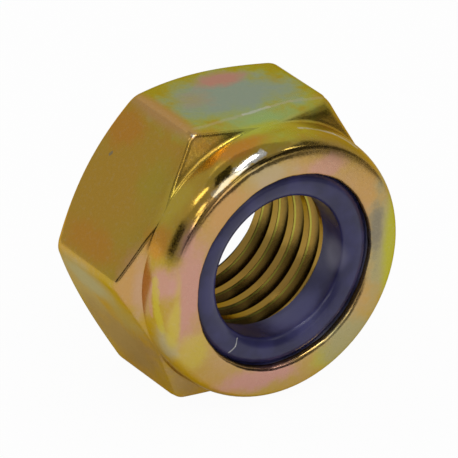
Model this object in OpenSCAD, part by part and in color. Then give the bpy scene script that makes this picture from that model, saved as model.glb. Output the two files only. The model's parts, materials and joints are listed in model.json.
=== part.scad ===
// Hexagon lock nut with a nylon insert, standing on one of its six flats.
// The thread axis lies level along Y. The insert end looks to -Y, the bearing face to +Y.
// The origin is on the thread axis, midway along the nut. All sizes are in millimetres.
// Heights are counted along the thread axis, from the bearing face to the insert end.

/* [Hexagon] */
// Distance across two opposite flats
across_flats = 19; // [18.6:0.2:22]
// Radius of the six upright corners
corner_round = 0.9; // [0.4:0.1:1.5]
// Height at which the front chamfer runs out on its circle
hex_height = 8.8; // [8.2:0.1:9.2]
// Slope of the bearing-side chamfer against the bearing face
chamfer_angle = 30; // [20:1:35]
// Slope of the front chamfer, which is flatter
front_chamfer_angle = 20; // [16:1:30]
// Diameter of the flat ring of the bearing face
bearing_diameter = 17.2; // [16.6:0.1:18]
// Diameter of the circle on which the front chamfer runs out
front_diameter = 17.4; // [16.6:0.1:18]

/* [Thread hole] */
// Diameter over the thread crests, for a 12 mm coarse thread
thread_minor_diameter = 10.28; // [10.1:0.02:10.44]
// Diameter of the lead-in at the bearing face
leadin_diameter = 12.4; // [12:0.1:13]
// Slope of the lead-in against the thread axis
leadin_angle = 45; // [40:1:60]

/* [Collar] */
// Whole length of the nut along the thread
overall_height = 11.6; // [11.2:0.1:12]
// Diameter of the round collar
collar_diameter = 18.5; // [18:0.1:18.6]
// Radius of the hollow between the hexagon and the collar
root_fillet = 0.8; // [0.4:0.1:1]
// How far the rolled shoulder reaches inwards
shoulder_reach = 1; // [0.7:0.05:1.2]
// How far the rolled shoulder runs along the nut
shoulder_rise = 1.9; // [1.4:0.1:2]
// Opening that the rolled lip leaves over the insert
lip_opening = 13.4; // [12.8:0.1:14]
// Thickness of the rolled lip
lip_thickness = 0.55; // [0.4:0.05:0.7]
// Rounding of the lip's rim
lip_round = 0.15; // [0.1:0.05:0.25]

/* [Nylon insert] */
// Outer diameter of the insert
insert_diameter = 15.9; // [15.4:0.1:16]
// Hole through the insert, narrower than the bolt
insert_bore = 9.9; // [9.6:0.1:10.6]
// Thickness of the gripped rim of the insert
insert_thickness = 2.6; // [2.2:0.1:2.8]
// How far the crowned face stands above the gripped rim
crown_height = 0.12; // [0.05:0.01:0.2]
// How far the rounded mouth of the hole reaches outwards
mouth_reach = 1; // [0.7:0.05:1.1]
// How far the rounded mouth of the hole drops
mouth_drop = 0.55; // [0.3:0.05:0.8]
// Gap all round between the insert and its recess
insert_clearance = 0.05; // [0.02:0.01:0.1]

/* [Hidden] */
$fn = 120;
arc_steps = 8;
cut = 1;

flat_radius = across_flats / 2;
corner_centre = (flat_radius - corner_round) / cos(30);
corner_reach = corner_centre + corner_round;
envelope_radius = corner_reach + cut;
bearing_radius = bearing_diameter / 2;
front_radius = front_diameter / 2;
collar_radius = collar_diameter / 2;
minor_radius = thread_minor_diameter / 2;
leadin_radius = leadin_diameter / 2;
leadin_depth = (leadin_radius - minor_radius) / tan(leadin_angle);
lip_radius = lip_opening / 2;
insert_radius = insert_diameter / 2;
recess_radius = insert_radius + insert_clearance;
bore_radius = insert_bore / 2;
recess_top = overall_height - lip_thickness;
recess_floor = recess_top - insert_thickness;
recess_corner = 0.5;
insert_corner = recess_corner + insert_clearance;
insert_back_edge = 0.15;

// Where the front chamfer would meet the collar, and how far the hollow reaches from there
chamfer_meets_collar = hex_height - (collar_radius - front_radius) * tan(front_chamfer_angle);
fillet_tangent = root_fillet / tan((90 + front_chamfer_angle) / 2);
fillet_height = chamfer_meets_collar + fillet_tangent;

// Points of an arc, or of a quarter of an ellipse, from one angle to another
function arc(centre, reach, rise, from, to) = [
    for (i = [0:arc_steps])
        let (a = from + (to - from) * i / arc_steps)
        [centre[0] + reach * cos(a), centre[1] + rise * sin(a)]
];

// Outline of the hexagon with its rounded corners, one flat facing straight up
hexagon_outline = [
    for (corner = [0:5])
        for (p = arc(
            [corner_centre * cos(60 * corner), corner_centre * sin(60 * corner)],
            corner_round, corner_round, 60 * corner - 30, 60 * corner + 30
        )) p
];

// Half section of the outside: bearing face, two chamfers, root hollow, collar and rolled shoulder
outside_section = concat(
    [
        [0, 0],
        [bearing_radius, 0],
        [envelope_radius, (envelope_radius - bearing_radius) * tan(chamfer_angle)],
        [envelope_radius, hex_height - (envelope_radius - front_radius) * tan(front_chamfer_angle)]
    ],
    arc([collar_radius + root_fillet, fillet_height], root_fillet, root_fillet, 270 - front_chamfer_angle, 180),
    arc(
        [collar_radius - shoulder_reach, overall_height - shoulder_rise],
        shoulder_reach, shoulder_rise, 0, 90
    ),
    [[0, overall_height]]
);

// Half section of the inside: lead-in, thread hole, insert recess and the opening of the lip
inside_section = concat(
    [
        [0, -cut],
        [leadin_radius + cut * tan(leadin_angle), -cut],
        [minor_radius, leadin_depth],
        [minor_radius, recess_floor],
        [recess_radius, recess_floor]
    ],
    arc([recess_radius - recess_corner, recess_top - recess_corner], recess_corner, recess_corner, 0, 90),
    [[lip_radius, recess_top]],
    arc([lip_radius + lip_round, overall_height - lip_round], lip_round, lip_round, 180, 90),
    [
        [lip_radius + lip_round, overall_height + cut],
        [0, overall_height + cut]
    ]
);

// Half section of the insert: gripped rim, crowned face, rounded mouth and straight hole
insert_section = concat(
    [
        [bore_radius + insert_back_edge, recess_floor],
        [insert_radius, recess_floor]
    ],
    arc([insert_radius - insert_corner, recess_top - insert_corner], insert_corner, insert_corner, 0, 90),
    arc([bore_radius + mouth_reach, recess_top], lip_radius - bore_radius - mouth_reach, crown_height, 0, 80),
    arc(
        [bore_radius + mouth_reach, recess_top + crown_height - mouth_drop],
        mouth_reach, mouth_drop, 90, 180
    ),
    [[bore_radius, recess_floor + insert_back_edge]]
);

// Lays the upright thread axis level and puts the origin midway along it
module standing_on_a_flat() {
    rotate([90, 0, 0])
        translate([0, 0, -overall_height / 2])
            children();
}

// Cold-formed steel: hexagon and collar in one piece, its lip rolled in over the insert
module nut_body() {
    color("goldenrod")
        standing_on_a_flat()
            difference() {
                intersection() {
                    linear_extrude(height = overall_height)
                        polygon(hexagon_outline);
                    rotate_extrude()
                        polygon(outside_section);
                }
                rotate_extrude()
                    polygon(inside_section);
            }
}

// Ring that grips the bolt, held between the recess floor and the rolled lip
module nylon_insert() {
    color("slateblue")
        standing_on_a_flat()
            rotate_extrude()
                polygon(insert_section);
}

nut_body();
nylon_insert();
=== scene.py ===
"""Looks of a hexagon lock nut with a nylon insert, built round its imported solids.

The steel body and the nylon ring are modelled again at the place and size of their solids, with the small
roundings, the rolled lip and the helical thread of the real nut, and each gets its own finish. Sizes are in
millimetres and heights are counted along the thread axis, from the bearing face to the insert end.
"""

import json
import logging
import math
from collections.abc import Callable
from dataclasses import dataclass
from enum import Enum
from functools import partial

import bmesh
import bpy
from mathutils import Matrix, Vector

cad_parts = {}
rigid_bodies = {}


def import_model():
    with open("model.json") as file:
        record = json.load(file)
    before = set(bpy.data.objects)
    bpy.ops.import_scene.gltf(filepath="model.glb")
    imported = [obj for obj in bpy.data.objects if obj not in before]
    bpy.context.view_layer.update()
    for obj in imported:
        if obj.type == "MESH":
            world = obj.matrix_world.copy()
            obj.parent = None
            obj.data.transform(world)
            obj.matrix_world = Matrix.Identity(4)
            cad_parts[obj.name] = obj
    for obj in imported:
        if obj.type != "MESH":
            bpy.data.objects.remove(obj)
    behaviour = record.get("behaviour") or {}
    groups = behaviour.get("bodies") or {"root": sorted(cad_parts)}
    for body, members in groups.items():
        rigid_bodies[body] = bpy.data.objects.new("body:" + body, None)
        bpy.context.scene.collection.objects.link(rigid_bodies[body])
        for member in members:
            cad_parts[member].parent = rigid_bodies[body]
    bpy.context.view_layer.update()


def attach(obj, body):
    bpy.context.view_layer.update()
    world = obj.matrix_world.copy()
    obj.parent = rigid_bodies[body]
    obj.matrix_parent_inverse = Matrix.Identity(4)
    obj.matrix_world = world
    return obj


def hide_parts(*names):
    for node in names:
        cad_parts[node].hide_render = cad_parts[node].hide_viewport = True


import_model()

MM = 0.001
FULL_TURN = 2 * math.pi
HALF_TURN = math.radians(180)
QUARTER_TURN = math.radians(90)
SIDE_TURN = math.radians(60)
HALF_SIDE = math.radians(30)
SAME_PLACE = 0.001 * MM

log = logging.getLogger("lock_nut")

Pair = tuple[float, float]
Spot = tuple[float, float, float]
RingRule = Callable[[float], Pair]
Socket = bpy.types.NodeSocket


class Slot(Enum):
    """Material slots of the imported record."""

    STEEL = "yellow_zinc_steel"
    NYLON = "blue_nylon"


class Film(Enum):
    """Colours of the passivated zinc and of the marks on it and on the nylon, as linear reflectances. Some
    stand for painted light: painted shade in the hole and its grooves, and painted reflections on the nylon's
    hole. Others also serve for painted highlights and painted shade on the steel.
    """

    BRASS = (0.63, 0.365, 0.057)
    MOSS = (0.54, 0.42, 0.055)
    TAN = (0.66, 0.40, 0.24)
    OLIVE = (0.56, 0.53, 0.05)
    GREEN = (0.44, 0.60, 0.22)
    SLATE = (0.40, 0.50, 0.42)
    ORANGE = (0.72, 0.30, 0.05)
    ROSE = (0.71, 0.36, 0.31)
    DUSK = (0.30, 0.26, 0.18)
    CREAM = (0.72, 0.62, 0.42)
    PEACH = (0.68, 0.38, 0.14)
    GOLD = (0.70, 0.55, 0.08)
    LIME = (0.62, 0.64, 0.09)
    LEMON = (0.72, 0.62, 0.06)
    SAND = (0.55, 0.54, 0.42)
    KHAKI = (0.48, 0.42, 0.20)
    UMBER = (0.43, 0.285, 0.19)
    HOLE_PAINTED_SHADE = (0.33, 0.20, 0.052)
    NYLON_PAINTED_REFLECTION_BLUE = (0.11, 0.11, 0.28)
    MIST = (0.17, 0.165, 0.25)
    PALE = (0.86, 0.85, 0.80)
    GROOVE_PAINTED_SHADE = (0.045, 0.04, 0.015)

    @property
    def rgba(self) -> tuple[float, float, float, float]:
        """The colour with an opaque fourth value."""
        return (*self.value, 1.0)


def pick_only(thing: bpy.types.Object) -> None:
    """Selects one object alone and makes it the active one.

    Args:
        thing: Object to select.
    """
    bpy.ops.object.select_all(action="DESELECT")
    thing.select_set(True)
    bpy.context.view_layer.objects.active = thing


def apply_modifier(thing: bpy.types.Object, modifier: bpy.types.Modifier) -> None:
    """Applies one modifier of an object.

    Args:
        thing: Object that carries the modifier.
        modifier: Modifier to turn into mesh.
    """
    pick_only(thing)
    bpy.ops.object.modifier_apply(modifier=modifier.name)


def quadratic(before: Vector, corner: Vector, after: Vector, share: float) -> Pair:
    """Point of the soft curve that rounds off a corner.

    Args:
        before: Where the curve leaves the first line.
        corner: Where the two lines would meet.
        after: Where the curve joins the second line.
        share: Place along the curve, from 0 to 1.

    Returns:
        Radius and height of the point.
    """
    rest = 1 - share
    point = before * rest * rest + corner * 2 * rest * share + after * share * share
    return point.x, point.y


def smooth(share: float) -> float:
    """Turns a share from 0 to 1 into one that starts and ends gently."""
    return share * share * (3 - 2 * share)


class RingSkin:
    """A closed skin round the thread axis, drawn out ring by ring from one circle."""

    def __init__(self, name: str, bearings: list[float], mid_height: float) -> None:
        """Adds the circle that the skin starts from and opens it for editing.

        Args:
            name: Name of the new object.
            bearings: Angles of the points round the axis, rising from 0 to less than a full turn.
            mid_height: Height that lies on the origin.
        """
        self.mid_height = mid_height
        self.rings = 0
        bpy.ops.object.select_all(action="DESELECT")
        bpy.ops.mesh.primitive_circle_add(
            vertices=len(bearings), radius=MM, rotation=(QUARTER_TURN, 0, 0)
        )
        self.thing = bpy.context.active_object
        self.thing.name = name
        self.thing.data.name = name
        bpy.ops.object.transform_apply(location=False, rotation=True, scale=False)
        bpy.ops.object.mode_set(mode="EDIT")
        bpy.ops.mesh.select_mode(type="EDGE")
        bpy.ops.mesh.select_all(action="SELECT")
        shell = bmesh.from_edit_mesh(self.thing.data)
        around = sorted(shell.verts, key=lambda point: math.atan2(point.co.z, point.co.x) % FULL_TURN)
        for point, bearing in zip(around, bearings):
            point.co = (MM * math.cos(bearing), 0, MM * math.sin(bearing))

    def ring(self, rule: RingRule) -> None:
        """Extrudes the open rim and lays the new ring on its radius and height.

        Args:
            rule: Gives the radius and the height for a bearing.
        """
        if self.rings:
            bpy.ops.mesh.extrude_region_move()
        self.rings += 1
        shell = bmesh.from_edit_mesh(self.thing.data)
        for point in shell.verts:
            if point.select:
                bearing = math.atan2(point.co.z, point.co.x)
                radius, height = rule(bearing)
                point.co = (
                    radius * MM * math.cos(bearing),
                    (self.mid_height - height) * MM,
                    radius * MM * math.sin(bearing),
                )
        bmesh.update_edit_mesh(self.thing.data)

    def circle(self, radius: float, height: float) -> None:
        """Extrudes the open rim to a plain circle."""
        self.ring(lambda bearing: (radius, height))

    def soft_edge(self, before: Vector, corner: Vector, after: Vector, steps: int, first: int = 0) -> None:
        """Extrudes the open rim over a rounded corner, circle by circle.

        Args:
            before: Radius and height at which the rounding starts.
            corner: Where the two lines would meet.
            after: Radius and height at which it ends.
            steps: Number of steps over the corner.
            first: Step to start with.
        """
        for step in range(first, steps + 1):
            self.circle(*quadratic(before, corner, after, step / steps))

    def arc(self, centre: Pair, size: Pair, turns: Pair, steps: int, first: int = 0) -> None:
        """Extrudes the open rim along part of a circle or an ellipse, circle by circle.

        Args:
            centre: Radius and height of the centre.
            size: How far it reaches outwards and along the axis.
            turns: Angles at which it starts and ends, from 0 outwards to a quarter turn up the axis.
            steps: Number of steps along it.
            first: Step to start with.
        """
        for step in range(first, steps + 1):
            turn = turns[0] + (turns[1] - turns[0]) * step / steps
            self.circle(centre[0] + size[0] * math.cos(turn), centre[1] + size[1] * math.sin(turn))

    def close(self) -> bpy.types.Object:
        """Closes the skin on its first ring and turns its faces outwards.

        Returns:
            The finished object.
        """
        bpy.ops.mesh.select_all(action="SELECT")
        bpy.ops.mesh.remove_doubles(threshold=SAME_PLACE)
        bpy.ops.mesh.normals_make_consistent(inside=False)
        bpy.ops.object.mode_set(mode="OBJECT")
        return self.thing


@dataclass
class NutBody:
    """Cold-formed steel body: hexagon, collar, rolled lip and the threaded hole."""

    across_flats: float = 19.0
    corner_round: float = 0.9
    corner_steps: int = 4
    corner_margin: float = math.radians(0.35)
    flat_steps: int = 18
    hex_height: float = 8.8
    chamfer_angle: float = math.radians(30)
    front_chamfer_angle: float = math.radians(20)
    bearing_radius: float = 8.6
    bearing_middle: float = 7.4
    bearing_border: float = 0.16
    front_radius: float = 8.7
    bearing_ease: float = 0.1
    bearing_seam: float = 0.05
    rear_flat_ease: float = 0.1
    rear_corner_ease: float = 0.45
    rear_seam: float = 0.03
    roll_height: float = 7.3
    roll_bow: float = 0.5
    roll_flat_dip: float = 0.235
    roll_corner_dip: float = 0.06
    roll_power: float = 1.25
    front_flat_ease: float = 0.22
    front_corner_ease: float = 0.3
    front_most: float = 0.45
    front_seam: float = 0.05
    soft_corner: float = math.radians(60)
    soft_corner_span: float = math.radians(26)
    soft_corner_ease: float = 1.15
    soft_corner_drop: float = 0.6
    soft_corner_share: float = 0.2
    height: float = 11.6
    collar_radius: float = 9.25
    collar_drops: Pair = (0.5, 0.25)
    root_fillet: float = 0.44
    root_samples: int = 24
    shoulder_reach: float = 1.0
    shoulder_rise: float = 1.9
    shoulder_turn: float = math.radians(62)
    ring_radius: float = 7.45
    ring_circles: tuple[float, ...] = (7.3, 7.15)
    ring_slope: float = 0.01
    lip_radius: float = 6.7
    lip_waves: tuple[Spot, ...] = ((0.02, 7, 1), (0.012, 19, 2), (0.008, 41, 0))
    lip_thickness: float = 0.55
    lip_round: float = 0.32
    lip_drop: float = 0.008
    lip_wall: float = 0.45
    recess_radius: float = 8.0
    recess_floor: float = 8.45
    recess_corner: float = 0.5
    floor_circle: float = 6.4
    thread_radius: float = 5.14
    thread_ease: float = 0.1
    leadin_radius: float = 6.2
    leadin_border: float = 0.06
    pitch: float = 1.75
    crest_width: float = 0.62
    crest_ease: float = 0.035
    root_round: float = 0.2
    groove_bearing: float = math.radians(-40.2)
    groove_height: float = 4.075
    tool_turns: int = 7
    turns_before: int = 3
    tool_steps: int = 96
    tool_inset: float = 0.15
    tool_margin: float = 0.03
    smooth_angle: float = math.radians(33)

    @property
    def corner_centre(self) -> float:
        """Distance from the axis to the centre of a corner's rounding."""
        return (self.across_flats / 2 - self.corner_round) / math.cos(HALF_SIDE)

    @property
    def fillet_centre(self) -> Vector:
        """Centre of the hollow between hexagon and collar.

        Returns:
            Its radius and height.
        """
        slope = math.tan(self.front_chamfer_angle)
        meeting = self.hex_height - (self.collar_radius - self.front_radius) * slope
        rise = self.root_fillet / math.tan((math.pi / 2 + self.front_chamfer_angle) / 2)
        return Vector((self.collar_radius + self.root_fillet, meeting + rise))

    @property
    def chamfer_way(self) -> Vector:
        """Direction up the bearing chamfer, as radius and height."""
        return Vector((math.cos(self.chamfer_angle), math.sin(self.chamfer_angle)))

    def bearings(self) -> list[float]:
        """Angles of the mesh points round the axis: close together over each corner, wider on the flats.

        Returns:
            The angles of all six sides, in rising order.
        """
        corner = []
        for step in range(-self.corner_steps, self.corner_steps + 1):
            lean = HALF_SIDE * step / self.corner_steps
            across = self.corner_round * math.sin(lean)
            corner.append(math.atan2(across, self.corner_centre + self.corner_round * math.cos(lean)))
        edge = corner[-1] + self.corner_margin
        span = SIDE_TURN - 2 * edge
        side = corner + [edge + span * step / self.flat_steps for step in range(self.flat_steps + 1)]
        return sorted((angle + SIDE_TURN * turn) % FULL_TURN for turn in range(6) for angle in side)

    def hexagon(self, bearing: float) -> float:
        """Distance from the axis to the rounded hexagon.

        Args:
            bearing: Angle round the axis.

        Returns:
            Distance in millimetres.
        """
        off = abs((bearing + HALF_SIDE) % SIDE_TURN - HALF_SIDE)
        across = self.corner_centre * math.sin(off)
        half_width = self.corner_round * math.sin(HALF_SIDE)
        reach = self.corner_centre + self.corner_round * math.cos(HALF_SIDE)
        if across <= half_width * self.corner_centre / reach:
            return self.corner_centre * math.cos(off) + math.sqrt(self.corner_round**2 - across**2)
        return self.across_flats / 2 / math.cos(HALF_SIDE - off)

    def toward_corner(self, bearing: float) -> float:
        """How near a bearing is to a corner, from 0 at the middle of a flat to 1."""
        flat = self.across_flats / 2
        return (self.hexagon(bearing) - flat) / (self.corner_centre + self.corner_round - flat)

    def by_corner(self, at_flat: float, at_corner: float, bearing: float) -> float:
        """Size that changes from the middle of a flat to a corner."""
        return at_flat + (at_corner - at_flat) * self.toward_corner(bearing)

    def softness(self, bearing: float) -> float:
        """How much of the one softly worn corner a bearing has, from 0 to 1."""
        off = abs((bearing - self.soft_corner + math.pi) % FULL_TURN - math.pi)
        return smooth(max(0.0, 1 - off / self.soft_corner_span))

    def roll_start(self, bearing: float) -> float:
        """Height at which the front strip of a flat starts to lean in."""
        bow = self.roll_bow * (1 - self.toward_corner(bearing))
        return self.roll_height - max(bow, self.soft_corner_drop * self.softness(bearing))

    def rear_ease(self, bearing: float) -> float:
        """Width of the soft edge between the bearing chamfer and the hexagon."""
        return self.by_corner(self.rear_flat_ease, self.rear_corner_ease, bearing)

    def front_ease(self, bearing: float) -> float:
        """Width of the soft edge between the hexagon and the front chamfer."""
        ease = self.by_corner(self.front_flat_ease, self.front_corner_ease, bearing)
        return ease + (self.soft_corner_ease - ease) * self.softness(bearing)

    def front_share(self, bearing: float) -> float:
        """Share of the way down the root that the soft edge takes up."""
        most = self.front_most + self.soft_corner_share * self.softness(bearing)
        return min(most, self.front_ease(bearing) / self.root_length(bearing))

    def front_reach(self, bearing: float) -> float:
        """Distance from the axis to the hexagon's front edge, where the forming has rolled it in a little."""
        return self.hexagon(bearing) - self.by_corner(self.roll_flat_dip, self.roll_corner_dip, bearing)

    def lower_edge(self, bearing: float) -> Vector:
        """Where the bearing chamfer meets the wrench flat."""
        reach = self.hexagon(bearing)
        return Vector((reach, (reach - self.bearing_radius) * math.tan(self.chamfer_angle)))

    def root(self, bearing: float, travel: float) -> Vector:
        """Point on the way from the hexagon's front edge down the chamfer and up the hollow to the collar.

        Args:
            bearing: Angle round the axis.
            travel: Share of the way, from 0 at the edge to 1 at the collar.

        Returns:
            Radius and height of the point.
        """
        reach = self.front_reach(bearing)
        centre = self.fillet_centre
        angle = self.front_chamfer_angle
        touch = HALF_TURN + QUARTER_TURN - angle
        touch_radius = centre.x + self.root_fillet * math.cos(touch)
        slant = max(0.0, (reach - touch_radius) / math.cos(angle))
        start = touch
        if reach < touch_radius:
            start = math.pi + math.acos((centre.x - reach) / self.root_fillet)
        curve = self.root_fillet * (start - math.pi)
        way = travel * (slant + curve)
        if way <= slant and slant > 0:
            inward = reach - way * math.cos(angle)
            return Vector((inward, self.hex_height - (inward - self.front_radius) * math.tan(angle)))
        turn = start - (way - slant) / self.root_fillet
        return centre + self.root_fillet * Vector((math.cos(turn), math.sin(turn)))

    def root_length(self, bearing: float) -> float:
        """Length of the way from the hexagon's front edge to the collar."""
        points = [self.root(bearing, step / self.root_samples) for step in range(self.root_samples + 1)]
        return sum((b - a).length for a, b in zip(points, points[1:]))

    def lip(self, bearing: float) -> float:
        """Radius of the rolled lip, which isn't quite even all round."""
        waves = sum(size * math.sin(count * bearing + shift) for size, count, shift in self.lip_waves)
        return self.lip_radius + waves

    def on_bearing_chamfer(self, share: float, bearing: float) -> Pair:
        """Point on the chamfer between the bearing face and the hexagon.

        Args:
            share: Place on the way outwards, from 0 to 1.
            bearing: Angle round the axis.

        Returns:
            Radius and height of the point.
        """
        first = Vector((self.bearing_radius, 0)) + (self.bearing_ease + self.bearing_seam) * self.chamfer_way
        last = self.lower_edge(bearing) - (self.rear_ease(bearing) + self.rear_seam) * self.chamfer_way
        return tuple(first.lerp(last, share))

    def on_rear_edge(self, share: float, bearing: float) -> Pair:
        """Point on the soft edge between the bearing chamfer and a flat.

        Args:
            share: Place on the way over the edge, from 0 to 1.
            bearing: Angle round the axis.

        Returns:
            Radius and height of the point.
        """
        edge = self.lower_edge(bearing)
        ease = self.rear_ease(bearing)
        return quadratic(edge - ease * self.chamfer_way, edge, edge + Vector((0, ease)), share)

    def on_flat(self, share: float, bearing: float) -> Pair:
        """Point on the plane part of a flat.

        Args:
            share: Place on the way up the flat, from 0 to 1.
            bearing: Angle round the axis.

        Returns:
            Radius and height of the point.
        """
        low = self.lower_edge(bearing).y + self.rear_ease(bearing) + self.rear_seam
        return self.hexagon(bearing), low + (self.roll_start(bearing) - low) * share

    def on_roll(self, share: float, bearing: float) -> Pair:
        """Point on the front strip of a flat, which leans in a little.

        Args:
            share: Place on the way up the strip, from 0 to 1.
            bearing: Angle round the axis.

        Returns:
            Radius and height of the point.
        """
        reach = self.hexagon(bearing)
        high = self.root(bearing, 0).y - self.front_ease(bearing)
        start = self.roll_start(bearing)
        inward = (self.front_reach(bearing) - reach) * share**self.roll_power
        return reach + inward, start + (high - start) * share

    def on_front_edge(self, share: float, bearing: float) -> Pair:
        """Point on the soft edge between a flat and the front chamfer.

        Args:
            share: Place on the way over the edge, from 0 to 1.
            bearing: Angle round the axis.

        Returns:
            Radius and height of the point.
        """
        edge = self.root(bearing, 0)
        after = self.root(bearing, self.front_share(bearing))
        return quadratic(edge - Vector((0, self.front_ease(bearing))), edge, after, share)

    def on_root(self, share: float, bearing: float) -> Pair:
        """Point on the way down the front chamfer and up the hollow.

        Args:
            share: Place on the way, from 0 to 1.
            bearing: Angle round the axis.

        Returns:
            Radius and height of the point.
        """
        first = self.front_share(bearing)
        first += self.front_seam * (1 - first)
        return tuple(self.root(bearing, first + (1 - first) * share))

    def on_lip(self, share: float, bearing: float) -> Pair:
        """Point on the rounded rim of the lip.

        Args:
            share: Place on the way from the ring face into the opening, from 0 to 1.
            bearing: Angle round the axis.

        Returns:
            Radius and height of the point.
        """
        turn = QUARTER_TURN * share
        drop = self.lip_drop + self.lip_round * (1 - math.cos(turn))
        return self.lip(bearing) + self.lip_round * (1 - math.sin(turn)), self.height - drop

    def build_skin(self) -> bpy.types.Object:
        """Models the whole body without its thread, from the bearing face round to the hole.

        Returns:
            The closed body.
        """
        skin = RingSkin("steel_body", self.bearings(), self.height / 2)
        inner = self.leadin_radius
        outer = self.bearing_radius
        for radius in (inner, inner + self.leadin_border, self.bearing_middle, outer - self.bearing_border):
            skin.circle(radius, 0)
        corner = Vector((self.bearing_radius, 0))
        inward = Vector((self.bearing_ease, 0))
        skin.soft_edge(corner - inward, corner, corner + self.bearing_ease * self.chamfer_way, steps=4)
        # The strip that leans in starts on the last ring of the flat, so its own first ring is left out
        for rule, first, steps in (
            (self.on_bearing_chamfer, 0, 4),
            (self.on_rear_edge, 0, 8),
            (self.on_flat, 0, 7),
            (self.on_roll, 1, 6),
            (self.on_front_edge, 0, 7),
            (self.on_root, 0, 16),
        ):
            for step in range(first, steps + 1):
                skin.ring(partial(rule, step / steps))
        self.build_collar(skin)
        self.build_inside(skin)
        return skin.close()

    def build_collar(self, skin: RingSkin) -> None:
        """Draws the collar, its rolled shoulder, the ring face and the lip on from the hollow.

        Args:
            skin: Skin whose open rim lies at the top of the hollow.
        """
        base = self.height - self.shoulder_rise
        for drop in self.collar_drops:
            skin.circle(self.collar_radius, base - drop)
        size = (self.shoulder_reach, self.shoulder_rise)
        centre = (self.collar_radius - self.shoulder_reach, base)
        skin.arc(centre, size, (0, self.shoulder_turn), steps=15)
        across = self.shoulder_reach * math.cos(self.shoulder_turn)
        along = self.shoulder_rise * math.sin(self.shoulder_turn)
        last = Vector((centre[0] + across, centre[1] + along))
        lean = self.shoulder_rise / self.shoulder_reach / math.tan(self.shoulder_turn)
        corner = Vector((last.x - (self.height - last.y) / lean, self.height))
        skin.soft_edge(last, corner, Vector((self.ring_radius, self.height)), steps=12, first=1)
        for radius in self.ring_circles:
            skin.circle(radius, self.height - self.ring_slope * (self.ring_radius - radius))
        lip_steps = 8
        for step in range(lip_steps + 1):
            skin.ring(partial(self.on_lip, step / lip_steps))
        for depth in (self.lip_wall, self.lip_thickness):
            skin.ring(lambda bearing, depth=depth: (self.lip(bearing), self.height - depth))

    def build_inside(self, skin: RingSkin) -> None:
        """Draws the recess of the insert, the hole and its lead-in on from the lip.

        Args:
            skin: Skin whose open rim lies at the lower edge of the lip.
        """
        corner = self.recess_corner
        centre = (self.recess_radius - corner, self.height - self.lip_thickness - corner)
        skin.arc(centre, (corner, corner), (QUARTER_TURN, 0), steps=4)
        skin.circle(self.recess_radius, self.recess_floor)
        skin.circle(self.floor_circle, self.recess_floor)
        skin.circle(self.thread_radius + self.thread_ease, self.recess_floor)
        top = self.recess_floor - self.thread_ease
        leadin_depth = self.leadin_radius - self.thread_radius
        steps = 12
        for step in range(steps + 1):
            skin.circle(self.thread_radius, leadin_depth + (top - leadin_depth) * (1 - step / steps))
        skin.circle(self.leadin_radius, 0)

    def groove_section(self) -> list[Pair]:
        """Outline of the thread groove, with its rounded root and eased crest edges.

        Returns:
            Radius and height of each point, the height from the middle of the groove.
        """
        half = (self.pitch - self.crest_width) / 2
        apex = self.thread_radius + half / math.tan(HALF_SIDE)
        side = []
        steps = 3
        for step in range(steps + 1):
            turn = SIDE_TURN * step / steps
            inward = apex - 2 * self.root_round
            side.append((inward + self.root_round * math.cos(turn), self.root_round * math.sin(turn)))
        corner = Vector((self.thread_radius, half))
        before = corner + self.crest_ease * Vector((math.cos(HALF_SIDE), -math.sin(HALF_SIDE)))
        after = corner + self.crest_ease * Vector((0, 1))
        for step in range(steps + 1):
            side.append(quadratic(before, corner, after, step / steps))
        side.append((self.thread_radius - self.tool_inset, half + self.crest_ease + self.tool_margin))
        return [(radius, -height) for radius, height in reversed(side)] + side[1:]

    def build_groove_tool(self) -> bpy.types.Object:
        """Models the helical tool that cuts the thread.

        Returns:
            The closed tool, longer than the nut at both ends.
        """
        section = self.groove_section()
        bpy.ops.object.select_all(action="DESELECT")
        bpy.ops.mesh.primitive_circle_add(vertices=len(section), radius=MM)
        tool = bpy.context.active_object
        first = self.groove_height - self.turns_before * self.pitch
        for point, (radius, height) in zip(tool.data.vertices, section):
            point.co = (radius * MM, (self.height / 2 - first - height) * MM, 0)
        helix = tool.modifiers.new("helix", "SCREW")
        helix.axis = "Y"
        helix.steps = self.tool_steps
        helix.render_steps = self.tool_steps
        helix.iterations = self.tool_turns
        helix.screw_offset = -self.pitch * MM
        helix.use_smooth_shade = False
        apply_modifier(tool, helix)
        bpy.ops.object.mode_set(mode="EDIT")
        bpy.ops.mesh.select_all(action="SELECT")
        bpy.ops.mesh.remove_doubles(threshold=SAME_PLACE)
        bpy.ops.mesh.fill_holes(sides=0)
        bpy.ops.mesh.select_all(action="SELECT")
        bpy.ops.mesh.quads_convert_to_tris()
        bpy.ops.mesh.normals_make_consistent(inside=False)
        bpy.ops.transform.rotate(
            value=self.groove_bearing, orient_axis="Y", orient_type="GLOBAL", center_override=(0, 0, 0)
        )
        bpy.ops.object.mode_set(mode="OBJECT")
        return tool

    def cut_thread(self, body: bpy.types.Object) -> None:
        """Cuts the helical groove into the hole.

        Args:
            body: Steel body with its plain hole.
        """
        tool = self.build_groove_tool()
        cut = body.modifiers.new("thread", "BOOLEAN")
        cut.operation = "DIFFERENCE"
        cut.solver = "EXACT"
        cut.object = tool
        apply_modifier(body, cut)
        pick_only(tool)
        bpy.ops.object.delete()

    def build(self) -> bpy.types.Object:
        """Builds the threaded body and ties it to its solid.

        Returns:
            The finished body.
        """
        body = self.build_skin()
        self.cut_thread(body)
        pick_only(body)
        bpy.ops.object.shade_smooth_by_angle(angle=self.smooth_angle)
        body.data.materials.clear()
        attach(body, "root")
        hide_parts("nut_body")
        return body


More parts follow.
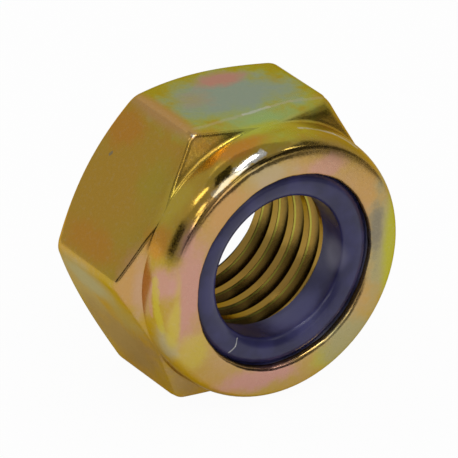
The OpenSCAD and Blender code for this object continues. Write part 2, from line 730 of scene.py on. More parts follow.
@dataclass
class NylonInsert:
    """Indigo nylon ring that grips the bolt, held under the rolled lip."""

    outer_radius: float = 7.95
    bore_radius: float = 4.95
    floor: float = 8.45
    top: float = 11.05
    back_circle: float = 6.5
    rim_round: float = 0.55
    rim_drop: float = 0.32
    rim_gap: float = 0.3
    lip_radius: float = 6.7
    crown: float = 0.12
    mouth_reach: float = 1.0
    mouth_drop: float = 0.55
    bore_circles: tuple[float, ...] = (10.2, 9.6, 9.0)
    back_edge: float = 0.15
    mid_height: float = 5.8
    sides: int = 144
    smooth_angle: float = math.radians(40)

    def build(self) -> bpy.types.Object:
        """Models the ring from its back edge round the rim, over the crown and down the hole.

        Returns:
            The finished insert.
        """
        bearings = [FULL_TURN * step / self.sides for step in range(self.sides)]
        skin = RingSkin("nylon_ring", bearings, self.mid_height)
        for radius in (self.bore_radius + self.back_edge, self.back_circle, self.outer_radius):
            skin.circle(radius, self.floor)
        centre = (self.outer_radius - self.rim_round, self.top - self.rim_round)
        skin.arc(centre, (self.rim_round, self.rim_round), (0, QUARTER_TURN), steps=5)
        skin.circle(self.lip_radius + self.rim_gap, self.top)
        inner = self.bore_radius + self.mouth_reach
        size = (self.lip_radius - inner, self.crown + self.rim_drop)
        skin.arc((inner, self.top - self.rim_drop), size, (0, QUARTER_TURN), steps=10)
        centre = (inner, self.top + self.crown - self.mouth_drop)
        skin.arc(centre, (self.mouth_reach, self.mouth_drop), (QUARTER_TURN, HALF_TURN), steps=12, first=1)
        for height in (*self.bore_circles, self.floor + self.back_edge):
            skin.circle(self.bore_radius, height)
        skin.circle(self.bore_radius + self.back_edge, self.floor)
        ring = skin.close()
        pick_only(ring)
        bpy.ops.object.shade_smooth_by_angle(angle=self.smooth_angle)
        ring.data.materials.clear()
        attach(ring, "root")
        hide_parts("nylon_insert")
        return ring


@dataclass(frozen=True)
class Lumps:
    """A noise pattern: lumps per millimetre, octaves of finer lumps and how strong those are."""

    scale: float
    detail: float
    roughness: float = 0.5


class Wiring:
    """Adds nodes to one tree and joins them up."""

    def __init__(self, tree: bpy.types.NodeTree) -> None:
        """Keeps the tree that the nodes go into."""
        self.tree = tree

    def feed(self, socket: Socket, value: object) -> None:
        """Joins a socket to another node's output, or sets it to a plain value.

        Args:
            socket: Input to feed.
            value: Output of another node, a number, a vector or a colour.
        """
        if isinstance(value, Socket):
            self.tree.links.new(value, socket)
        else:
            socket.default_value = value

    def add(self, kind: str, **settings: object) -> bpy.types.Node:
        """Adds a node and sets its own properties.

        Args:
            kind: Name of the node type after ShaderNode.
            **settings: Properties of the node.

        Returns:
            The node.
        """
        node = self.tree.nodes.new("ShaderNode" + kind)
        for name, value in settings.items():
            setattr(node, name, value)
        return node

    def math(self, operation: str, first: object, second: object = 0.0, clamp: bool = False) -> Socket:
        """Adds a calculation with two values.

        Args:
            operation: Name of the calculation.
            first: First value or output.
            second: Second value or output.
            clamp: Whether the result is held between 0 and 1.

        Returns:
            Output with the result.
        """
        node = self.add("Math", operation=operation, use_clamp=clamp)
        self.feed(node.inputs[0], first)
        self.feed(node.inputs[1], second)
        return node.outputs[0]

    def vector(self, operation: str, first: object, second: object) -> bpy.types.Node:
        """Adds a calculation with two vectors.

        Args:
            operation: Name of the calculation.
            first: First vector or output.
            second: Second vector or output.

        Returns:
            The node, whose outputs are a vector and a value.
        """
        node = self.add("VectorMath", operation=operation)
        self.feed(node.inputs[0], first)
        self.feed(node.inputs[1], second)
        return node

    def blend(self, share: object, under: object, over: object) -> Socket:
        """Mixes two colours.

        Args:
            share: How much of the second colour shows.
            under: First colour.
            over: Second colour.

        Returns:
            Output with the mixed colour.
        """
        node = self.add("Mix", data_type="RGBA", clamp_factor=True)
        self.feed(node.inputs[0], share)
        self.feed(node.inputs[6], under)
        self.feed(node.inputs[7], over)
        return node.outputs[2]

    def noise(self, place: object, lumps: Lumps) -> Socket:
        """Adds a noise pattern.

        Args:
            place: Where the pattern is read.
            lumps: How coarse the pattern is.

        Returns:
            Output with the pattern, from 0 to 1.
        """
        node = self.add("TexNoise")
        self.feed(node.inputs["Vector"], place)
        node.inputs["Scale"].default_value = lumps.scale
        node.inputs["Detail"].default_value = lumps.detail
        node.inputs["Roughness"].default_value = lumps.roughness
        return node.outputs["Fac"]

    def swing(self, place: object, lumps: Lumps, strength: object) -> Socket:
        """Adds a noise pattern that swings to both sides of zero.

        Args:
            place: Where the pattern is read.
            lumps: How coarse the pattern is.
            strength: Factor for the pattern, a value or an output.

        Returns:
            Output with the pattern.
        """
        centred = self.math("SUBTRACT", self.noise(place, lumps), 0.5)
        return self.math("MULTIPLY", centred, strength)

    def remap(self, value: object, span: Pair, result: Pair) -> Socket:
        """Carries one range of values smoothly over to another.

        Args:
            value: Value or output to carry over.
            span: Start and end of its range.
            result: Results at the start and at the end.

        Returns:
            Output with the result.
        """
        node = self.add("MapRange", interpolation_type="SMOOTHSTEP")
        for socket, number in zip(node.inputs, (value, *span, *result)):
            self.feed(socket, number)
        return node.outputs[0]

    def millimetres(self) -> Socket:
        """Reads the place on the piece in millimetres."""
        place = self.add("TexCoord")
        return self.vector("MULTIPLY", place.outputs["Object"], (1 / MM,) * 3).outputs[0]

    def group(self, tree: bpy.types.NodeTree, **values: object) -> bpy.types.Node:
        """Places a node group and feeds its named inputs.

        Args:
            tree: The group's tree.
            **values: Values or outputs for its inputs, by name.

        Returns:
            The group node.
        """
        node = self.add("Group", node_tree=tree)
        for name, value in values.items():
            self.feed(node.inputs[name], value)
        return node

    def bump(self, shader: bpy.types.Node, height: Socket, depth: float) -> None:
        """Gives a shader small bumps.

        Args:
            shader: Shader whose normal is fed.
            height: Output with the height pattern.
            depth: Height of the bumps in metres.
        """
        node = self.add("Bump")
        node.inputs["Strength"].default_value = 1.0
        node.inputs["Distance"].default_value = depth
        self.feed(node.inputs["Height"], height)
        self.feed(shader.inputs["Normal"], node.outputs["Normal"])


def start_group(
    name: str, inputs: dict[str, str], outputs: dict[str, str]
) -> tuple[Wiring, bpy.types.Node, bpy.types.Node]:
    """Starts a node group with named inputs and outputs.

    Args:
        name: Name of the group.
        inputs: Socket type of each input.
        outputs: Socket type of each output.

    Returns:
        The group's wiring, its input node and its output node.
    """
    tree = bpy.data.node_groups.new(name, "ShaderNodeTree")
    for label, kind in inputs.items():
        tree.interface.new_socket(label, in_out="INPUT", socket_type="NodeSocket" + kind)
    for label, kind in outputs.items():
        tree.interface.new_socket(label, in_out="OUTPUT", socket_type="NodeSocket" + kind)
    return Wiring(tree), tree.nodes.new("NodeGroupInput"), tree.nodes.new("NodeGroupOutput")


@dataclass(frozen=True)
class Patch:
    """One soft patch of another colour."""

    tint: Film
    centre: Spot
    reach: Spot
    strength: float = 1.0
    wander: float = 1.6


@dataclass(frozen=True)
class Stroke:
    """A narrow mark of another colour from one place to another; some of these marks are painted highlights.
    """

    tint: Film
    start: Spot
    end: Spot
    width: float
    strength: float = 1.0


@dataclass(frozen=True)
class Sheen:
    """A region whose surface is smoother or rougher than the rest."""

    centre: Spot
    reach: Spot
    roughness: float
    waves: float = 0.0
    wander: float = 0.6


FILM_PATCHES = (
    Patch(Film.BRASS, (-8.2, 2.4, 4.7), (3.0, 4.4, 5.2), 0.9, 0.4),
    Patch(Film.ORANGE, (-6.5, 3.8, 8.0), (1.4, 2.2, 1.8), 0.7),
    Patch(Film.MOSS, (-7.4, -1.2, 6.2), (1.5, 1.6, 2.2), 0.7),
    Patch(Film.SAND, (-10.2, 2.0, -1.5), (1.4, 3.2, 1.6), 1.0, 0.6),
    Patch(Film.SAND, (-9.0, 3.4, -3.6), (1.6, 2.4, 1.8), 0.5),
    Patch(Film.ORANGE, (-9.9, 1.6, 1.3), (1.2, 3.6, 1.2), 0.55),
    Patch(Film.OLIVE, (4.4, 5.8, 4.4), (4.0, 1.6, 3.4), 0.7),
    Patch(Film.ROSE, (6.4, 5.8, -3.6), (2.4, 1.2, 2.0), 0.6),
    Patch(Film.OLIVE, (-6.6, 5.8, -3.0), (2.6, 1.6, 3.0), 0.6),
    Patch(Film.OLIVE, (9.0, 0.6, 3.4), (2.2, 3.6, 3.4), 0.8),
    Patch(Film.SLATE, (8.8, 1.6, 4.8), (1.6, 2.0, 1.9), 0.7),
    Patch(Film.ROSE, (8.2, 3.4, -5.8), (1.6, 1.4, 1.6), 0.6),
    Patch(Film.GREEN, (8.6, 0.6, -4.6), (2.0, 2.6, 2.2), 0.6),
    Patch(Film.UMBER, (-7.5, 1.2, -6.2), (2.4, 4.8, 3.4), 0.9),
    Patch(Film.UMBER, (-5.4, -2.8, -7.7), (1.8, 1.7, 1.6), 0.45),
    Patch(Film.OLIVE, (0.5, 0.5, 10.4), (8.5, 9.0, 1.8)),
    Patch(Film.GREEN, (-0.1, 0.4, 9.5), (4.6, 3.9, 1.6), 0.7),
    Patch(Film.SLATE, (-0.2, 1.4, 9.5), (4.3, 3.1, 1.6), 1.0),
    Patch(Film.SLATE, (3.0, 0.9, 9.5), (1.7, 2.0, 1.6), 0.45),
    Patch(Film.TAN, (-2.4, 1.9, 9.5), (1.3, 1.1, 1.2), 0.35, 2.4),
    Patch(Film.ROSE, (0.7, 3.75, 9.5), (1.9, 0.95, 1.4), 1.0),
    Patch(Film.GREEN, (0.2, -2.4, 9.4), (2.5, 1.0, 1.6), 1.0),
    Patch(Film.PEACH, (-5.35, 1.4, 9.5), (0.8, 4.6, 0.8), 0.95, 0.6),
    Patch(Film.GOLD, (-7.4, -3.3, 5.6), (1.8, 1.0, 2.2), 0.6),
    Patch(Film.LIME, (-0.9, -3.1, 9.2), (2.2, 0.7, 0.9), 0.9),
    Patch(Film.GOLD, (2.6, -3.5, 9.0), (2.4, 1.0, 1.1), 0.9),
    Patch(Film.ORANGE, (-3.1, -4.0, 8.6), (2.2, 0.9, 1.2), 0.9),
    Patch(Film.ORANGE, (-4.4, -2.4, 8.9), (1.2, 0.7, 0.8), 0.45),
    Patch(Film.ORANGE, (-8.6, -3.7, 3.3), (0.9, 1.2, 1.2), 0.7),
    Patch(Film.TAN, (0.0, -6.4, 0.0), (9.2, 1.6, 9.2), 1.0, 0.5),
    Patch(Film.ROSE, (-7.5, -5.8, 0.4), (1.2, 1.0, 4.6), 0.8),
    Patch(Film.PEACH, (-5.3, -5.8, 5.9), (1.7, 1.0, 1.7), 0.9),
    Patch(Film.SAND, (-1.9, -5.8, 7.4), (1.9, 1.0, 1.0), 0.35),
    Patch(Film.ROSE, (2.6, -5.8, 6.9), (1.6, 0.9, 0.8), 0.6),
    Patch(Film.OLIVE, (4.6, -5.8, -7.0), (2.6, 1.0, 1.1), 0.8),
    Patch(Film.PEACH, (-9.8, -2.6, 0.4), (1.4, 0.9, 2.4), 0.9),
    Patch(Film.GOLD, (-7.0, -5.8, -4.1), (1.3, 1.0, 1.6), 0.7),
    Patch(Film.SAND, (-8.5, -4.6, -3.8), (0.8, 1.0, 1.7), 0.6),
    Patch(Film.TAN, (-9.35, -3.2, -0.6), (0.5, 0.9, 2.8), 0.75, 1.2),
    Patch(Film.GOLD, (-8.4, -5.4, -1.6), (0.35, 1.0, 3.0), 0.8),
    Patch(Film.KHAKI, (7.5, -5.8, 0.4), (1.3, 1.0, 4.6), 0.95),
    Patch(Film.KHAKI, (5.6, -5.8, -6.2), (2.6, 1.0, 2.2), 0.95),
    # Painted shade: the ring face darkens at the right edge of the opening, by the lip
    Patch(Film.DUSK, (6.95, -5.8, 1.4), (0.6, 0.7, 2.2), 0.95, 2.4),
    Patch(Film.OLIVE, (8.3, -5.6, -0.4), (0.8, 1.2, 5.0), 0.9, 0.8),
    Patch(Film.ROSE, (-1.8, -5.8, -7.15), (3.2, 1.0, 0.9), 0.85),
    Patch(Film.ROSE, (-8.9, -5.0, 0.9), (0.6, 1.2, 1.3), 0.8),
    Patch(Film.SLATE, (-8.8, -1.0, -3.0), (1.4, 1.8, 1.6), 0.3),
)

STEEL_STROKES = (
    Stroke(Film.CREAM, (-4.8, -1.6, 9.5), (-0.9, -1.35, 9.5), 0.16, 0.3),
    Stroke(Film.PALE, (-0.9, -1.35, 9.5), (1.2, -1.15, 9.5), 0.13, 0.42),
    Stroke(Film.CREAM, (1.2, -1.15, 9.5), (3.0, -1.1, 9.5), 0.13, 0.4),
    Stroke(Film.CREAM, (3.0, -1.1, 9.5), (5.2, -1.5, 9.4), 0.16, 0.25),
    # Painted highlight: a white streak and its paler end along the upper left of the rolled shoulder
    Stroke(Film.PALE, (-2.1, -5.25, 8.7), (-4.1, -5.35, 7.9), 0.28, 0.95),
    Stroke(Film.CREAM, (-4.1, -5.35, 7.9), (-5.7, -5.4, 6.75), 0.24, 0.8),
    Stroke(Film.LEMON, (-9.2, -4.3, 0.9), (-9.0, -4.85, -2.6), 0.34, 0.5),
    Stroke(Film.ROSE, (-9.2, -3.9, 0.6), (-9.15, -4.0, -1.6), 0.2, 0.5),
    Stroke(Film.PALE, (1.6, -4.0, 9.1), (4.1, -4.35, 8.25), 0.16, 0.55),
    Stroke(Film.PALE, (4.1, -4.35, 8.25), (5.6, -4.9, 7.2), 0.16, 0.45),
    Stroke(Film.DUSK, (-7.5, 3.8, 6.0), (-7.4, 3.7, 6.2), 0.1, 0.8),
    # Painted highlight: a white glint at the tip of the upper left corner
    Stroke(Film.PALE, (-5.3, -2.05, 9.2), (-4.8, -2.05, 9.25), 0.16, 0.9),
)

SHEENS = (
    Sheen((-3.4, -5.2, 7.4), (5.6, 1.3, 3.8), -0.1, 3.0),
    Sheen((-5.0, -2.7, 8.1), (2.6, 0.8, 2.2), 0.1),
    Sheen((4.6, -3.4, 8.4), (5.0, 3.2, 3.6), 0.14),
    Sheen((0.0, -6.6, 0.0), (10.5, 1.3, 10.5), 0.04),
)

# Painted reflections: paler blue and grey patches on the nylon's hole
NYLON_PAINTED_REFLECTIONS = (
    Patch(Film.NYLON_PAINTED_REFLECTION_BLUE, (2.2, -3.9, -4.3), (2.3, 1.3, 1.7), 0.85, 0.7),
    Patch(Film.MIST, (4.9, -4.2, -0.45), (1.0, 1.0, 1.15), 0.9, 0.3),
)

NYLON_STROKES = (
    Stroke(Film.PALE, (-2.9, -4.9, -4.2), (-3.2, -5.25, -4.2), 0.035, 0.45),
    Stroke(Film.PALE, (-3.2, -5.25, -4.2), (-3.38, -5.36, -4.67), 0.045, 0.45),
    Stroke(Film.PALE, (-3.38, -5.36, -4.67), (-3.9, -5.35, -5.06), 0.05, 0.45),
    Stroke(Film.PALE, (-3.9, -5.35, -5.06), (-4.35, -5.3, -4.85), 0.05, 0.45),
)

PATCH_LUMPS = Lumps(0.6, 5.0, 0.62)
PATCH_FADE: Pair = (0.4, 1.35)
STROKE_LUMPS = Lumps(2.6, 3.0, 0.6)
STROKE_RAGGED = 2.2
STROKE_FADE: Pair = (0.5, 1.3)
FINE_PITS = Lumps(7.0, 3.0, 0.6)
SLOW_WAVES = Lumps(0.9, 1.0, 0.4)


@dataclass(frozen=True)
class SurfaceGroups:
    """Node groups that the finishes share."""

    patch: bpy.types.NodeTree
    stroke: bpy.types.NodeTree
    grain: bpy.types.NodeTree

    @classmethod
    def build(cls) -> "SurfaceGroups":
        """Builds each group once."""
        return cls(cls.build_patch(), cls.build_stroke(), cls.build_grain())

    @staticmethod
    def build_patch() -> bpy.types.NodeTree:
        """Builds the soft patch: a mask that is 1 round a place and fades out unevenly.

        Returns:
            The group's tree.
        """
        wires, given, result = start_group(
            "soft_patch",
            {"Place": "Vector", "Centre": "Vector", "Reach": "Vector", "Wander": "Float"},
            {"Mask": "Float"},
        )
        away = wires.vector("SUBTRACT", given.outputs["Place"], given.outputs["Centre"]).outputs[0]
        share = wires.vector("DIVIDE", away, given.outputs["Reach"]).outputs[0]
        length = wires.vector("LENGTH", share, (0.0, 0.0, 0.0)).outputs["Value"]
        uneven = wires.swing(given.outputs["Place"], PATCH_LUMPS, given.outputs["Wander"])
        mask = wires.remap(wires.math("ADD", length, uneven), PATCH_FADE, (1.0, 0.0))
        wires.feed(result.inputs["Mask"], mask)
        return wires.tree

    @staticmethod
    def build_stroke() -> bpy.types.NodeTree:
        """Builds the stroke: a mask that is 1 along a short line and fades out beside it.

        Returns:
            The group's tree.
        """
        wires, given, result = start_group(
            "wear_and_highlight_stroke",
            {"Place": "Vector", "Start": "Vector", "Way": "Vector", "Width": "Float", "Strength": "Float"},
            {"Mask": "Float"},
        )
        way = given.outputs["Way"]
        away = wires.vector("SUBTRACT", given.outputs["Place"], given.outputs["Start"]).outputs[0]
        along = wires.vector("DOT_PRODUCT", away, way).outputs["Value"]
        whole = wires.vector("DOT_PRODUCT", way, way).outputs["Value"]
        share = wires.math("DIVIDE", along, whole, clamp=True)
        foot = wires.vector("MULTIPLY", way, share).outputs[0]
        side = wires.vector("DISTANCE", away, foot).outputs["Value"]
        widths = wires.math("DIVIDE", side, given.outputs["Width"])
        ragged = wires.swing(given.outputs["Place"], STROKE_LUMPS, STROKE_RAGGED)
        mask = wires.remap(wires.math("ADD", widths, ragged), STROKE_FADE, (1.0, 0.0))
        wires.feed(result.inputs["Mask"], wires.math("MULTIPLY", mask, given.outputs["Strength"]))
        return wires.tree

    @staticmethod
    def build_grain() -> bpy.types.NodeTree:
        """Builds the surface grain: fine pits over slow waves, as a height and as a 0 to 1 value.

        Returns:
            The group's tree.
        """
        wires, given, result = start_group(
            "surface_grain",
            {"Place": "Vector", "Fine": "Float", "Waves": "Float"},
            {"Height": "Float", "Value": "Float"},
        )
        fine = wires.noise(given.outputs["Place"], FINE_PITS)
        slow = wires.noise(given.outputs["Place"], SLOW_WAVES)
        pits = wires.math("MULTIPLY", fine, given.outputs["Fine"])
        waves = wires.math("MULTIPLY", slow, given.outputs["Waves"])
        wires.feed(result.inputs["Height"], wires.math("ADD", pits, waves))
        wires.feed(result.inputs["Value"], fine)
        return wires.tree

    def region(self, wires: Wiring, place: Socket, spot: Patch | Sheen) -> Socket:
        """Places the soft patch over one region.

        Args:
            wires: Wiring of the material.
            place: Place on the piece in millimetres.
            spot: The region.

        Returns:
            Output that is 1 at the region's middle.
        """
        patch = wires.group(self.patch, Place=place, Centre=spot.centre, Reach=spot.reach, Wander=spot.wander)
        return patch.outputs["Mask"]

    def lay_patches(
        self, wires: Wiring, place: Socket, colour: Socket, patches: tuple[Patch, ...]
    ) -> Socket:
        """Lays soft patches over a colour.

        Args:
            wires: Wiring of the material.
            place: Place on the piece in millimetres.
            colour: Colour under the patches.
            patches: The patches, the lowest first.

        Returns:
            Output with the colour and its patches.
        """
        for patch in patches:
            mask = wires.math("MULTIPLY", self.region(wires, place, patch), patch.strength)
            colour = wires.blend(mask, colour, patch.tint.rgba)
        return colour

    def draw_strokes(
        self, wires: Wiring, place: Socket, colour: Socket, strokes: tuple[Stroke, ...]
    ) -> Socket:
        """Draws narrow marks over a colour.

        Args:
            wires: Wiring of the material.
            place: Place on the piece in millimetres.
            colour: Colour under the marks.
            strokes: The marks, the lowest first.

        Returns:
            Output with the colour and its marks.
        """
        for stroke in strokes:
            mark = wires.group(
                self.stroke,
                Place=place,
                Start=stroke.start,
                Way=tuple(b - a for a, b in zip(stroke.start, stroke.end)),
                Width=stroke.width,
                Strength=stroke.strength,
            )
            colour = wires.blend(mark.outputs["Mask"], colour, stroke.tint.rgba)
        return colour


@dataclass(frozen=True)
class YellowZincFinish:
    """Bright zinc plating under a thin yellow film that shimmers in several colours, with painted shade and
    highlights in the hole and painted highlights on the shoulder and at one corner.
    """

    groups: SurfaceGroups
    edge_tint: Spot = (0.72, 0.6, 0.3)
    drift: Lumps = Lumps(0.13, 1.0, 0.4)
    drift_span: Pair = (0.35, 0.65)
    drift_share: Pair = (0.5, 1.0)
    speckle: Lumps = Lumps(4.5, 3.0, 0.6)
    speckle_span: Pair = (0.5, 0.75)
    speckle_share: float = 0.14
    # Painted shade of the hole and the groove roots, and painted highlights along the crest edges
    bore_span: Pair = (6.25, 6.45)
    hole_shade_share: float = 0.75
    crest_radius: float = 5.22
    crest_highlight_span: Pair = (0.03, 0.07)
    crest_highlight_share: float = 0.55
    root_span: Pair = (5.3, 5.78)
    root_shade_share: float = 0.72
    root_end: float = 6.3
    grain: float = 0.25
    satin_span: Pair = (0.3, 0.7)
    satin: Pair = (0.16, 0.26)
    bump_depth: float = 0.006 * MM

    def film_colour(self, wires: Wiring, place: Socket) -> Socket:
        """Wires the colours of the film: a slow drift all over, the patches that the nut shows, the painted
        shade and highlights of the hole, and the narrow marks, among them painted highlights.

        Args:
            wires: Wiring of the material.
            place: Place on the piece in millimetres.

        Returns:
            Output with the film colour.
        """
        drift = wires.remap(wires.noise(place, self.drift), self.drift_span, self.drift_share)
        colour = wires.blend(drift, Film.MOSS.rgba, Film.BRASS.rgba)
        colour = self.groups.lay_patches(wires, place, colour, FILM_PATCHES)
        speckle = wires.noise(place, self.speckle)
        speckle = wires.remap(speckle, self.speckle_span, (0.0, self.speckle_share))
        colour = wires.blend(speckle, colour, Film.CREAM.rgba)
        colour = self.paint_hole_shade_and_highlights(wires, place, colour)
        return self.groups.draw_strokes(wires, place, colour, STEEL_STROKES)

    def paint_hole_shade_and_highlights(self, wires: Wiring, place: Socket, colour: Socket) -> Socket:
        """Wires the painted shade inside the hole, the painted highlights on the crest edges and the painted
        shade deep in the grooves.

        Args:
            wires: Wiring of the material.
            place: Place on the piece in millimetres.
            colour: Colour of the film outside.

        Returns:
            Output with the film colour and its painted shade and highlights, inside the hole and outside.
        """
        across = wires.vector("MULTIPLY", place, (1.0, 0.0, 1.0)).outputs[0]
        radius = wires.vector("LENGTH", across, (0.0, 0.0, 0.0)).outputs["Value"]
        # Painted shade: the film is darkened inside the hole
        inside = wires.remap(radius, self.bore_span, (self.hole_shade_share, 0.0))
        colour = wires.blend(inside, colour, Film.HOLE_PAINTED_SHADE.rgba)
        # Painted highlight: lighter lines along the crest edges
        off_crest = wires.math("ABSOLUTE", wires.math("SUBTRACT", radius, self.crest_radius))
        crest = wires.remap(off_crest, self.crest_highlight_span, (self.crest_highlight_share, 0.0))
        colour = wires.blend(crest, colour, Film.LIME.rgba)
        # Painted shade: darker film deep in the groove roots
        depth = wires.remap(radius, self.root_span, (0.0, self.root_shade_share))
        groove_shade = wires.math("MULTIPLY", depth, wires.math("LESS_THAN", radius, self.root_end))
        return wires.blend(groove_shade, colour, Film.GROOVE_PAINTED_SHADE.rgba)

    def material(self) -> bpy.types.Material:
        """Builds the plated steel.

        Returns:
            The material.
        """
        steel = bpy.data.materials.new("yellow_zinc")
        steel.use_nodes = True
        wires = Wiring(steel.node_tree)
        shader = steel.node_tree.nodes["Principled BSDF"]
        shader.inputs["Metallic"].default_value = 1.0
        shader.inputs["Specular Tint"].default_value = (*self.edge_tint, 1)
        place = wires.millimetres()
        wires.feed(shader.inputs["Base Color"], self.film_colour(wires, place))
        shine, waves = 0.0, 1.0
        for sheen in SHEENS:
            region = self.groups.region(wires, place, sheen)
            shine = wires.math("ADD", shine, wires.math("MULTIPLY", region, sheen.roughness))
            waves = wires.math("ADD", waves, wires.math("MULTIPLY", region, sheen.waves))
        grain = wires.group(self.groups.grain, Place=place, Fine=self.grain, Waves=waves)
        satin = wires.remap(grain.outputs["Value"], self.satin_span, self.satin)
        wires.feed(shader.inputs["Roughness"], wires.math("ADD", satin, shine))
        wires.bump(shader, grain.outputs["Height"], self.bump_depth)
        return steel


@dataclass(frozen=True)
class BlueNylonFinish:
    """Satin indigo nylon, with painted reflections on its hole."""

    groups: SurfaceGroups
    roughness: float = 0.24
    tint: Spot = (0.028, 0.026, 0.092)
    pale_factor: float = 1.3
    deep_factor: float = 0.8
    cloud: Lumps = Lumps(0.5, 2.0)
    cloud_span: Pair = (0.35, 0.65)
    grain: float = 0.15
    waves: float = 0.2
    bump_depth: float = 0.01 * MM

    def material(self) -> bpy.types.Material:
        """Builds the nylon.

        Returns:
            The material.
        """
        nylon = bpy.data.materials.new("indigo_nylon")
        nylon.use_nodes = True
        wires = Wiring(nylon.node_tree)
        shader = nylon.node_tree.nodes["Principled BSDF"]
        shader.inputs["Roughness"].default_value = self.roughness
        place = wires.millimetres()
        cloud = wires.remap(wires.noise(place, self.cloud), self.cloud_span, (0.0, 1.0))
        pale = tuple(channel * self.pale_factor for channel in self.tint)
        deep = tuple(channel * self.deep_factor for channel in self.tint)
        colour = wires.blend(cloud, (*deep, 1), (*pale, 1))
        # Painted reflections on the nylon's hole
        colour = self.groups.lay_patches(wires, place, colour, NYLON_PAINTED_REFLECTIONS)
        colour = self.groups.draw_strokes(wires, place, colour, NYLON_STROKES)
        wires.feed(shader.inputs["Base Color"], colour)
        grain = wires.group(self.groups.grain, Place=place, Fine=self.grain, Waves=self.waves)
        wires.bump(shader, grain.outputs["Height"], self.bump_depth)
        return nylon


@dataclass(frozen=True)
class Card:
    """A flat board that only the mirror rays of the metal see.

    Its bearing counts from the back towards the right. Its widths are angles seen from the nut. All are in
    degrees.
    """

    name: str
    bearing: float
    rise: float
    wide: float
    tall: float
    level: float
    far: float = 1.0
    roll: float = 0.0

    @property
    def toward(self) -> Vector:
        """Direction of the card's middle, seen from the nut.

        Returns:
            Vector of length 1.
        """
        turn = math.radians(self.bearing)
        lift = math.radians(self.rise)
        return Vector((math.sin(turn) * math.cos(lift), math.cos(turn) * math.cos(lift), math.sin(lift)))

    @property
    def size(self) -> Spot:
        """Width, height and thickness factors of the board.

        Returns:
            Factors for a board that is 1 m wide and tall.
        """
        wide, tall = (2 * self.far * math.tan(math.radians(angle / 2)) for angle in (self.wide, self.tall))
        return wide, tall, 1.0


CARDS = (
    Card("back_left", -44, 18, 84, 64, 0.46),
    Card("back_right", 38, 28, 82, 66, 0.56),
    Card("overhead", 180, 84, 84, 84, 0.34),
    Card("left_high", -105, 46, 66, 48, 0.34),
    Card("left_black_back", -82, 15, 26, 24, 0.02, 0.8),
    Card("left_black_front", -134, 18, 24, 28, 0.02, 0.8),
    Card("left_low", -106, 10, 66, 30, 0.3, 0.9),
    Card("left_spot", -126, 29, 9, 13, 2.4, 0.6),
    Card("front", 180, 34, 96, 52, 0.26),
    Card("front_low", 126, 1, 56, 12, 0.08, 0.9),
    Card("corner_glow", 170, 2, 18, 14, 1.1, 0.88),
    Card("front_brown", -166, 9, 34, 22, 0.15, 0.85),
    Card("right", 92, 26, 60, 60, 0.48),
    Card("front_black", 132, 19, 62, 28, 0.02, 0.8),
    Card("front_black_high", 168, 44, 18, 26, 0.03, 0.8),
    Card("right_black_high", 116, 43, 44, 20, 0.04, 0.75),
    Card("dark_over", -74, 69, 26, 14, 0.03, 0.7),
    Card("overhead_strip", -158, 84, 20, 9, 7.0, 0.6, 61),
    Card("left_strip_back", -68, 47, 8, 14, 2.6, 0.6),
    Card("left_strip_front", -114, 40, 12, 8, 2.6, 0.6),
    Card("right_spot", 130, 47, 7, 10, 2.8, 0.6),
    Card("front_spot", 176, 21, 5, 5, 2.0, 0.6),
    Card("behind_bore", -40, -7, 22, 22, 0.8, 0.033),
)


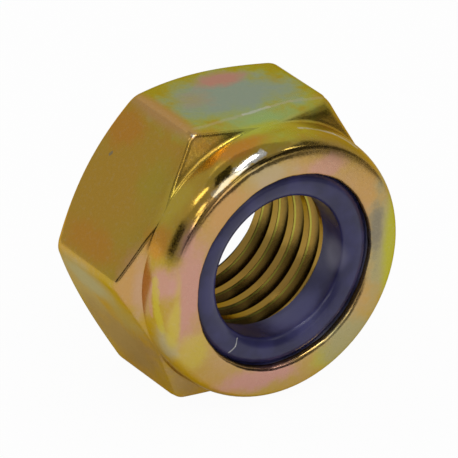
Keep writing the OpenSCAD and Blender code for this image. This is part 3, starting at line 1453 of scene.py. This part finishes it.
@dataclass
class Studio:
    """Pale floor, white surroundings, cards and a soft lamp."""

    floor_height: float = -9.5 * MM
    floor_size: float = 3.0
    floor_grey: float = 0.85
    floor_white: float = 0.96
    floor_mirror: float = 0.3
    ambient: float = 0.7
    mat_toward: Spot = (0.5, -0.8, 0.0)
    mat_near: float = 0.07
    mat_length: float = 0.26
    mat_width: float = 0.5
    mat_lift: float = 0.1 * MM
    mat_level: float = 0.1
    lamp_toward: Spot = (-0.3, -0.5, 0.9)
    lamp_far: float = 0.9
    lamp_side: float = 0.4
    lamp_glow: float = 1.2

    def build_world(self) -> None:
        """Makes the surroundings white where they are seen, and softer where they only light."""
        world = bpy.data.worlds.new("studio")
        world.use_nodes = True
        world.node_tree.nodes.clear()
        wires = Wiring(world.node_tree)
        path = wires.add("LightPath")
        seen = wires.math("ADD", path.outputs["Is Camera Ray"], path.outputs["Is Glossy Ray"])
        seen = wires.math("ADD", seen, path.outputs["Is Transmission Ray"], clamp=True)
        level = wires.math("MULTIPLY_ADD", seen, 1 - self.ambient)
        level.node.inputs[2].default_value = self.ambient
        glow = wires.add("Background")
        wires.feed(glow.inputs["Strength"], level)
        glow.inputs["Color"].default_value = (1, 1, 1, 1)
        out = wires.add("OutputWorld")
        wires.feed(out.inputs["Surface"], glow.outputs["Background"])
        bpy.context.scene.world = world

    def add_plane(self, name: str, size: float, place: Vector, rotation: Spot) -> bpy.types.Object:
        """Adds a plane.

        Args:
            name: Name of its object.
            size: Length of its sides in metres.
            place: Its middle.
            rotation: Its angles round the three axes.

        Returns:
            The plane, which is the only thing selected.
        """
        bpy.ops.object.select_all(action="DESELECT")
        bpy.ops.mesh.primitive_plane_add(size=size, location=place, rotation=rotation)
        plane = bpy.context.active_object
        plane.name = name
        return plane

    def build_floor(self) -> None:
        """Lays the pale floor under the nut; it shows white and keeps a soft shadow."""
        floor = self.add_plane("floor", self.floor_size, Vector((0, 0, self.floor_height)), (0, 0, 0))
        bpy.ops.object.transform_apply(location=True, rotation=False, scale=False)
        paper = bpy.data.materials.new("floor_paper")
        paper.use_nodes = True
        paper.node_tree.nodes.clear()
        wires = Wiring(paper.node_tree)
        matt = wires.add("BsdfDiffuse")
        matt.inputs["Color"].default_value = (*[self.floor_grey] * 3, 1)
        white = wires.add("Emission")
        white.inputs["Color"].default_value = (1, 1, 1, 1)
        path = wires.add("LightPath")
        direct = wires.math("ADD", path.outputs["Is Camera Ray"], path.outputs["Is Transmission Ray"])
        mirror = wires.math("MULTIPLY", path.outputs["Is Glossy Ray"], self.floor_mirror)
        share = wires.math("ADD", wires.math("MULTIPLY", direct, self.floor_white), mirror, clamp=True)
        mix = wires.add("MixShader")
        wires.feed(mix.inputs[0], share)
        wires.feed(mix.inputs[1], matt.outputs[0])
        wires.feed(mix.inputs[2], white.outputs[0])
        out = wires.add("OutputMaterial")
        wires.feed(out.inputs["Surface"], mix.outputs[0])
        floor.data.materials.append(paper)

    def finish_board(self, board: bpy.types.Object, size: Spot, level: float) -> None:
        """Gives a new plane its size and makes it a board that glows evenly, seen by mirror rays alone.

        Args:
            board: The plane.
            size: Factors for its length, width and thickness.
            level: Its brightness.
        """
        bpy.ops.transform.resize(value=size, orient_type="LOCAL")
        bpy.ops.object.transform_apply(location=True, rotation=True, scale=True)
        board.visible_camera = False
        board.visible_diffuse = False
        board.visible_shadow = False
        board.visible_transmission = False
        finish = bpy.data.materials.new(board.name)
        finish.use_nodes = True
        finish.node_tree.nodes.clear()
        wires = Wiring(finish.node_tree)
        grey = wires.add("Emission")
        grey.inputs["Color"].default_value = (1, 1, 1, 1)
        grey.inputs["Strength"].default_value = level
        out = wires.add("OutputMaterial")
        wires.feed(out.inputs["Surface"], grey.outputs[0])
        board.data.materials.append(finish)

    def lay_mat(self) -> None:
        """Lays the dark mat on the floor in front of the nut, which its shoulder mirrors."""
        middle = Vector(self.mat_toward).normalized() * (self.mat_near + self.mat_length / 2)
        middle.z = self.floor_height + self.mat_lift
        turn = math.atan2(self.mat_toward[1], self.mat_toward[0])
        mat = self.add_plane("front_mat", 1, middle, (0, 0, turn))
        self.finish_board(mat, (self.mat_length, self.mat_width, 1), self.mat_level)

    def hang_card(self, card: Card) -> None:
        """Hangs a card that shapes the reflections in the metal.

        Args:
            card: Sizes, place and brightness of the card.
        """
        direction = card.toward
        across = Vector((-direction.y, direction.x, 0)).normalized()
        facing = Matrix((across, direction.cross(across), direction)).transposed()
        turned = facing @ Matrix.Rotation(math.radians(card.roll), 3, "Z")
        board = self.add_plane(card.name, 1, direction * card.far, turned.to_euler())
        self.finish_board(board, card.size, card.level)

    def hang_lamp(self) -> None:
        """Hangs the soft lamp, which looks at the nut."""
        direction = Vector(self.lamp_toward).normalized()
        data = bpy.data.lights.new("soft_box", "AREA")
        data.shape = "RECTANGLE"
        data.size = self.lamp_side
        data.size_y = self.lamp_side
        data.energy = self.lamp_glow * math.pi * self.lamp_side * self.lamp_side
        box = bpy.data.objects.new("soft_box", data)
        bpy.context.collection.objects.link(box)
        box.location = direction * self.lamp_far
        box.rotation_euler = direction.to_track_quat("Z", "Y").to_euler()
        box.visible_camera = False

    def build(self) -> None:
        """Sets up the world, the floor, the mat, the cards and the lamp."""
        self.build_world()
        self.build_floor()
        self.lay_mat()
        for card in CARDS:
            self.hang_card(card)
        self.hang_lamp()


@dataclass
class ViewCamera:
    """Camera at the photograph's viewing angle."""

    place: Spot = (-0.204235, -0.279992, 0.171860)
    right: Spot = (0.82253, -0.56628, 0.05256)
    up: Spot = (0.21286, 0.39224, 0.8949)
    lens: float = 471.616
    sensor: float = 36.0
    clip_start: float = 0.01
    clip_end: float = 20.0

    def build(self) -> None:
        """Adds the camera and makes it the scene's own."""
        data = bpy.data.cameras.new("view")
        data.lens = self.lens
        data.sensor_width = self.sensor
        data.clip_start = self.clip_start
        data.clip_end = self.clip_end
        camera = bpy.data.objects.new("view", data)
        bpy.context.collection.objects.link(camera)
        right = Vector(self.right).normalized()
        back = right.cross(Vector(self.up)).normalized()
        up = back.cross(right)
        camera.matrix_world = Matrix.Translation(self.place) @ Matrix((right, up, back)).transposed().to_4x4()
        bpy.context.scene.camera = camera


def main() -> None:
    """Builds the nut, its finishes and the studio in order."""
    logging.basicConfig(level=logging.INFO, format="%(name)s: %(message)s")
    bpy.context.scene.view_settings.view_transform = "Standard"
    groups = SurfaceGroups.build()
    body = NutBody().build()
    body.data.materials.append(YellowZincFinish(groups).material())
    log.info("steel body: %d faces", len(body.data.polygons))
    ring = NylonInsert().build()
    ring.data.materials.append(BlueNylonFinish(groups).material())
    log.info("nylon ring: %d faces", len(ring.data.polygons))
    Studio().build()
    ViewCamera().build()


if __name__ == "__main__":
    main()
